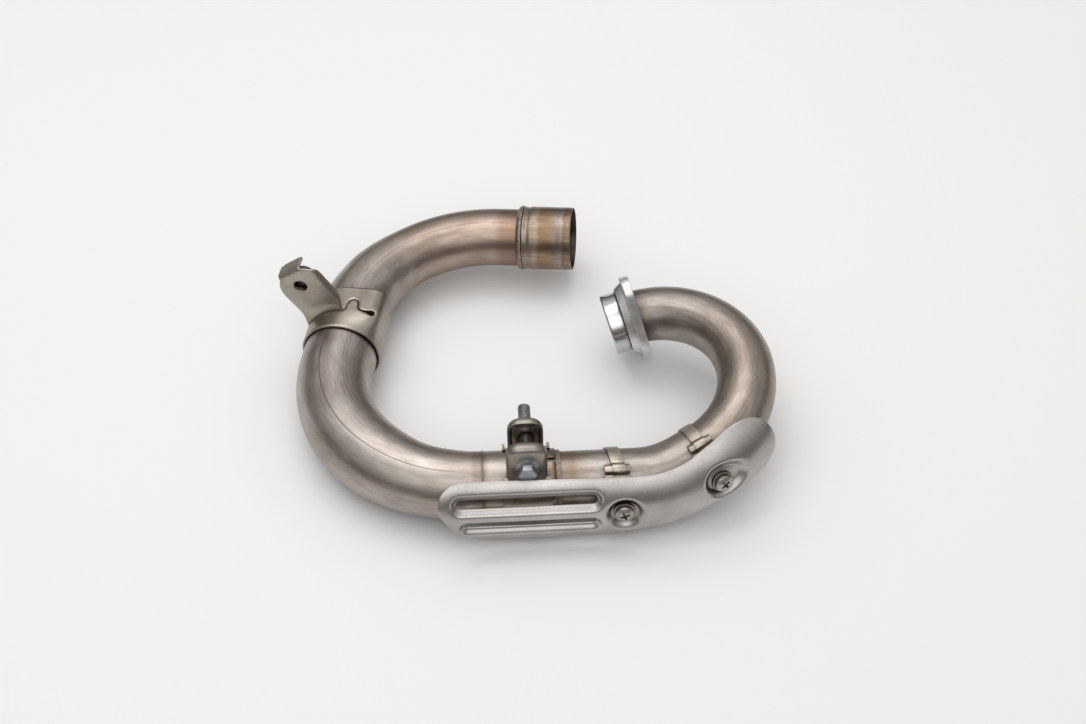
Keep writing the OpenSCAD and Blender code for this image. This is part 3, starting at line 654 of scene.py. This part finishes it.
SHIELD_R = 34.9  # from the pipe's centre line to the middle of the sheet
KEL = 180 / math.pi / SHIELD_R  # degrees to a millimetre of the way round
SHIELD_EDGE = [  # (place along the pipe, elevation in degrees), clockwise from the left end
    (-73.6, 25), (-73, 33), (-72.1, 38.7), (-68.9, 45.5), (-64.5, 50.1), (-58.3, 52), (-50, 52.3), (-20, 51.8),
    (10, 50.8), (30, 50.2), (56.6, 50.5), (69, 51.3), (82.6, 52.4), (91, 54.8), (97.3, 56.5), (105, 58.4),
    (111, 58.2), (116, 56), (120.5, 51.5), (123.4, 45.5), (125.2, 36), (125.3, 23), (123.9, 11), (120.6, 1.5),
    (115.9, -4), (108.8, -6.6), (100.9, -6.9), (91, -7), (79, -7.2), (68, -8.6), (55.3, -12.6), (45, -18),
    (36, -22.8), (26, -26), (10, -27.2), (-20, -27.2), (-38, -25.5), (-50, -21), (-57, -14.5), (-63, -5.5),
    (-68.2, 6), (-72, 17)]
SLOTS = [(-63.5, 25.0, 27.6 / KEL, 4.0), (-59.0, 24.2, -2.2 / KEL, 3.2)]  # from, to, middle, half width
SLOT_RIM, SLOT_DEPTH = 4.2, 3.6
DISHES = [(41.3, 8.0 / KEL), (95.3, 14.0 / KEL)]
DISH_FLOOR, DISH_RIM, DISH_DEPTH = 8.4, 5.0, 5.0
SCREW_HOLE = 3.3


def stadium(x0, x1, yc, r, off, step):
    """Closed loop round a long slot, off outside its edge."""
    rr = r + off
    xa, xb = x0 + r, x1 - r
    ends = max(8, int(math.pi * rr / step))
    runs = max(4, int((xb - xa) / step))
    turn = [math.pi / 2 - math.pi * i / ends for i in range(ends)]
    back = [-math.pi / 2 - math.pi * i / ends for i in range(ends)]
    return ([(xa + (xb - xa) * i / runs, yc + rr) for i in range(runs)]
            + [(xb + rr * math.cos(a), yc + rr * math.sin(a)) for a in turn]
            + [(xb - (xb - xa) * i / runs, yc - rr) for i in range(runs)]
            + [(xa + rr * math.cos(a), yc + rr * math.sin(a)) for a in back])


def slot_distance(x, y, slot):
    x0, x1, yc, r = slot
    return math.hypot(max(x0 + r - x, 0, x - (x1 - r)), y - yc) - r


def press(x, y):
    """How far the sheet is pressed in at a place."""
    depth = 0.0
    for slot in SLOTS:
        q = slot_distance(x, y, slot)
        if q < SLOT_RIM:
            depth = max(depth, SLOT_DEPTH * (1 - smoothstep(q / SLOT_RIM)) ** 1.2)
    for dx, dy in DISHES:
        q = math.hypot(x - dx, y - dy)
        if q < DISH_FLOOR + DISH_RIM:
            depth = max(depth, DISH_DEPTH * (1 - smoothstep((q - DISH_FLOOR) / DISH_RIM)))
    return depth


def shield_open(x, y):
    return any(slot_distance(x, y, slot) < 0 for slot in SLOTS) or any(
        math.hypot(x - dx, y - dy) < SCREW_HOLE * math.cos(math.pi / 24) for dx, dy in DISHES)


shield_loops = [stadium(*slot, off, 1.5) for slot in SLOTS for off in (0, 0.7, 1.4, 2.1, 2.8, 3.5, 4.3)]
shield_loops += [circle(x, y, r, n) for x, y in DISHES for r, n in (
    (SCREW_HOLE, 24), (6, 32), (8, 48), (8.7, 48), (9.5, 48), (10.3, 48), (11.1, 48), (12, 56), (12.8, 56),
    (13.5, 56), (14.6, 56))]
sheet("shield", smooth_loop([(s, el / KEL) for s, el in SHIELD_EDGE], 1.6), shield_loops, (2.3, 2.6, 1.5),
      shield_open, lambda s, w: FRONT.point(s, w * KEL, SHIELD_R - press(s, w)),
      lambda s, w: FRONT.point(s, w * KEL, 2) - FRONT.point(s, w * KEL, 1),
      0.55, 0.55, "heat_shield", mat_shield)


# ---- ears of the slip joint's clamp: pressed cups that face each other ----

def rounded(half_w, z0, z1, r_top, r_bottom, inset):
    """Closed loop of a rectangle with rounded corners, drawn in by inset; always the same count of points."""
    out = []
    for cx, cz, r, a0 in ((half_w, z1, r_top, 0), (-half_w, z1, r_top, 90),
                          (-half_w, z0, r_bottom, 180), (half_w, z0, r_bottom, 270)):
        rr = max(0.6, r - inset)
        ox = cx - math.copysign(inset + rr, cx)
        oz = cz - (inset + rr) * (1 if cz == z1 else -1)
        for i in range(13):
            a = D(a0 + 90 * i / 12)
            out.append((ox + rr * math.cos(a), oz + rr * math.sin(a)))
    return out


def cup(name, node, half_w, z0, face, depth, way, r_bottom):
    """Cup with its face at y = face and its rim depth behind it, towards +y or -y as way says."""
    x0, z1, r_top, thick = -18.3, 48.4, 8.5, 1.9
    rows = [(8.5, 0.0), (5, 0.0), (3.6, 0.05), (2.6, 0.2), (1.7, 0.55), (0.95, 1.15), (0.4, 1.9), (0.1, 2.7),
            (0, 3.6), (0, depth - 0.4), (0.25, depth), (thick - 0.3, depth), (thick, depth - 0.4), (thick, 3.9),
            (thick + 0.2, 3.0), (thick + 1.1, 2.2), (thick + 2.2, thick), (8.5, thick)]
    verts, faces = [], []
    for inset, y in rows:
        loop = rounded(half_w, z0, z1, r_top, r_bottom, inset)
        verts += [JOINT + START @ np.array([x0 + x, face + way * y, z]) for x, z in loop]
    n = len(loop)
    for i in range(len(rows) - 1):
        for j in range(n):
            k = (j + 1) % n
            faces.append((i * n + j, i * n + k, (i + 1) * n + k, (i + 1) * n + j))
    faces += [tuple(reversed(range(n))), tuple(range((len(rows) - 1) * n, len(rows) * n))]
    if way < 0:
        faces = [tuple(reversed(f)) for f in faces]
    sharp(new_object(name, verts, faces, None, node, mat_ear), 50)


cup("ear_near", "joint_ear_near", 12.7, 17.6, -15.5, 6.8, 1, 5)
cup("ear_far", "joint_ear_far", 11.2, 18.5, 13.5, 6.6, -1, 4)


# ---- hanger: a folded band with a tongue lock, and the tab, a pressed plate with two folds ----

HC, HM = REAR.at(242.4)
HX, HY, HZ = HM[:, 0], np.array([-0.99286, 0.11924, 0.00187]), np.array([-0.00032, -0.01838, 0.99983])
BAND_R, BAND_HALF = 26.1, 19.0
HANGER_HALF = 0.95  # half the sheet's thickness


def band_place(q, x):
    """The band; q runs round the pipe from below. Its inner upper corner is squared towards the rear."""
    a = q / BAND_R - math.pi / 2
    c, s = math.cos(a), math.sin(a)
    r = BAND_R
    if c < 0 < s:
        square = BAND_R / (abs(c) ** 7 + s ** 7) ** (1 / 7)
        r += (min(square, 33.5) - BAND_R) * smoothstep((x + 21) / 19)
    return HC + HX * (x + 2.5) + HY * (r * c) + HZ * (r * s)


def on_top(w, x):
    """Place on the band's flat top, w out from the middle, as the sheet's own coordinates."""
    return (math.atan2(BAND_R, w) + math.pi / 2) * BAND_R, x - 2.5


# middle line of the slit round the tongue: (w, x, half width)
SEAM = [(2, -0.6, 0.35), (-0.6, -0.4, 0.35), (-2.0, 1.2, 0.35), (-2.3, 5.5, 0.35), (-3.4, 8.9, 0.35),
        (-6.1, 10.2, 0.4), (-8.8, 8.9, 0.45), (-9.8, 5.8, 0.45), (-10.2, 2.6, 0.5), (-11.8, 0.6, 0.6),
        (-14.6, -0.2, 0.8), (-17, -0.6, 1.3), (-19.4, -0.8, 2.1), (-22.2, -0.9, 2.2), (-23.8, -0.9, 1.0)]
places = np.linspace(0, len(SEAM) - 1, 90)
nodes_on_top = np.array([on_top(w, x) for w, x, _ in SEAM])
middle = np.stack([np.interp(places, range(len(SEAM)), nodes_on_top[:, i]) for i in (0, 1)], 1)
width = np.interp(places, range(len(SEAM)), np.array([half for _, _, half in SEAM]))
way = np.gradient(middle, axis=0)
side = np.stack([-way[:, 1], way[:, 0]], 1) / np.linalg.norm(way, axis=1)[:, None]
slit = [tuple(v) for v in middle + side * width[:, None]]
slit += [tuple(v) for v in (middle - side * width[:, None])[::-1]]
slit_poly = np.array(slit)

full = 2 * math.pi * BAND_R
band_edge = ([(full * i / 110, -BAND_HALF) for i in range(110)]
             + [(full, -BAND_HALF + 2 * BAND_HALF * i / 24) for i in range(24)]
             + [(full - full * i / 110, BAND_HALF) for i in range(110)]
             + [(0.0, BAND_HALF - 2 * BAND_HALF * i / 24) for i in range(24)])
sheet("hanger_band_sheet", band_edge, [slit], (1.6, 1.8, 0.9), lambda x, y: in_polygon(slit_poly, x, y),
      band_place, lambda q, x: band_place(q, x) - HC - HX * (x + 2.5),
      HANGER_HALF, 0.4, "hanger_band", mat_hanger)


def folded(q, r):
    """Sheet bent over at q = 0: how far it goes on, and how far back."""
    if q <= 0:
        return q, 0.0
    if q < r * math.pi / 2:
        return r * math.sin(q / r), r * (1 - math.cos(q / r))
    return r, r + q - r * math.pi / 2


def tab_place(w, u):
    """The tab in w across and u up from the pipe's middle."""
    total = 0.0
    for nw, nu, line, radius in ((0.55, 0.835, 63.0, 2.4), (-0.858, 0.514, 15.7, 1.9)):
        q = nw * w + nu * u - line
        on, back = folded(q, radius)
        w, u = w + nw * (on - q), u + nu * (on - q)
        total += back
    # the plate's foot sweeps forward into the band
    foot = smoothstep((34 - math.hypot(w, u)) / 9) * 1.6
    return HC + HY * w + HZ * u + HX * (total - foot)


TAB_EDGE = [(24.2, 6.5), (25.6, 13), (28, 19.6), (33.1, 27.8), (37.2, 33.8), (40, 39.2), (40.9, 44.5),
            (40.2, 48.5), (40.9, 50.6), (42.6, 53.0), (45.6, 58.6), (43.6, 59.6), (44.2, 61), (38.3, 65.6),
            (33.4, 69), (31.8, 68.2), (27.2, 61.2), (24.2, 60.6), (20.5, 60.9), (17.4, 60.9), (14.6, 60.0),
            (11.8, 57.4), (7.6, 50.6), (4.2, 45.2), (2.2, 41.2), (1.2, 37), (0.9, 33), (0.4, 29),
            (-1.5, 25.4), (6, 24.9), (13, 21.7), (19, 16.7), (23, 10.6)]
TAB_HOLE, TAB_HOLE_R = (26.65, 45.85), 4.9
sheet("hanger_tab", smooth_loop(TAB_EDGE, 0.8), [circle(*TAB_HOLE, r, 32) for r in (TAB_HOLE_R, 5.8, 7.2)],
      (1.1, 1.2, 0.65), lambda x, y: math.hypot(x - TAB_HOLE[0], y - TAB_HOLE[1]) < TAB_HOLE_R - 0.05,
      tab_place, lambda x, y: -HX, HANGER_HALF, 0.5, "hanger_band", mat_hanger)

# nut welded behind the tab's hole; its bore gets painted shade from the pipe material
NUT_AROUND = 48
nut_profile = [(0.6, 7.4), (11.6, 7.4), (12, 7), (12, 5.3), (11.7, TAB_HOLE_R), (6, TAB_HOLE_R),
               (0.6, TAB_HOLE_R)]
mark_bore(lathe("tab_nut", HC + HY * TAB_HOLE[0] + HZ * TAB_HOLE[1], HM, nut_profile,
                "hanger_band", mat_nut, NUT_AROUND), 4, NUT_AROUND)


# ---- floor, light and camera ----

floor_mat = bpy.data.materials.new("pale_floor")
floor_mat.use_nodes = True
g = Graph(floor_mat.node_tree)
bsdf = g.tree.nodes["Principled BSDF"]
bsdf.inputs["Roughness"].default_value = 0.6
patches = g.add("ShaderNodeTexNoise", Scale=3)
pale = g.ramp(patches.outputs["Fac"], [(0, (0.83, 0.83, 0.835)), (1, (0.88, 0.88, 0.88))])
g.link(pale, bsdf.inputs["Base Color"])

me = bpy.data.meshes.new("floor")
me.from_pydata([(-3, -0.5, 0), (3, -0.5, 0), (3, 3.5, 0), (-3, 3.5, 0)], [], [(0, 1, 2, 3)])
me.materials.append(floor_mat)
floor = bpy.data.objects.new("floor", me)
bpy.context.scene.collection.objects.link(floor)

world = bpy.data.worlds.new("world")
bpy.context.scene.world = world
world.use_nodes = True
g = Graph(world.node_tree)
background = g.tree.nodes["Background"]
sky = g.add("ShaderNodeSeparateXYZ")
g.link(g.add("ShaderNodeTexCoord").outputs["Generated"], sky.inputs[0])
SKY = [(0.0, 0.34), (0.42, 0.2), (0.56, 0.15), (0.66, 0.3), (0.8, 0.7), (1.0, 0.82)]  # height, brightness
room = g.ramp(g.math("MULTIPLY_ADD", sky.outputs[2], 0.5, 0.5),
              [(place, (val, val * 0.995, val * 0.985)) for place, val in SKY])
# a bright patch of ceiling over the viewer's side
lobe = g.math("ADD", g.math("MULTIPLY", sky.outputs[1], -0.62), g.math("MULTIPLY", sky.outputs[2], 0.785))
lobe = g.math("MULTIPLY", g.math("SUBTRACT", lobe, 0.86), 10, clamp=True)
room = g.mix(lobe, room, (1.9, 1.89, 1.86))
seen = g.mix(g.add("ShaderNodeLightPath").outputs["Is Camera Ray"], room, (0.86, 0.86, 0.86))
g.link(seen, background.inputs["Color"])
background.inputs["Strength"].default_value = 1.0

light = bpy.data.lights.new("softbox_top", "AREA")
light.shape = "RECTANGLE"
light.size, light.size_y = 1.4, 1.0
light.energy = 7.5
softbox = bpy.data.objects.new("softbox_top", light)
bpy.context.scene.collection.objects.link(softbox)
softbox.location = (-0.25, 0.35, 1.5)
softbox.rotation_euler = (-softbox.location).to_track_quat("-Z", "Y").to_euler()

FOCAL_PX, WIDTH_PX = 1500, 1086
camera_data = bpy.data.cameras.new("camera")
camera_data.sensor_width = 36
camera_data.lens = 36 * FOCAL_PX / WIDTH_PX
camera_data.clip_start = 0.05
camera = bpy.data.objects.new("camera", camera_data)
bpy.context.scene.collection.objects.link(camera)
eye = Vector((21.324, -717.783, 757.205)) * MM
look = Vector((-0.008389, 0.701104, -0.71301)).normalized()
up = Vector((0.000421, 0.713037, 0.701126))
up = (up - look * up.dot(look)).normalized()
right = look.cross(up)
camera.matrix_world = Matrix((
    (right.x, up.x, -look.x, eye.x), (right.y, up.y, -look.y, eye.y), (right.z, up.z, -look.z, eye.z),
    (0, 0, 0, 1)))
bpy.context.scene.camera = camera
bpy.context.scene.view_settings.view_transform = "Standard"
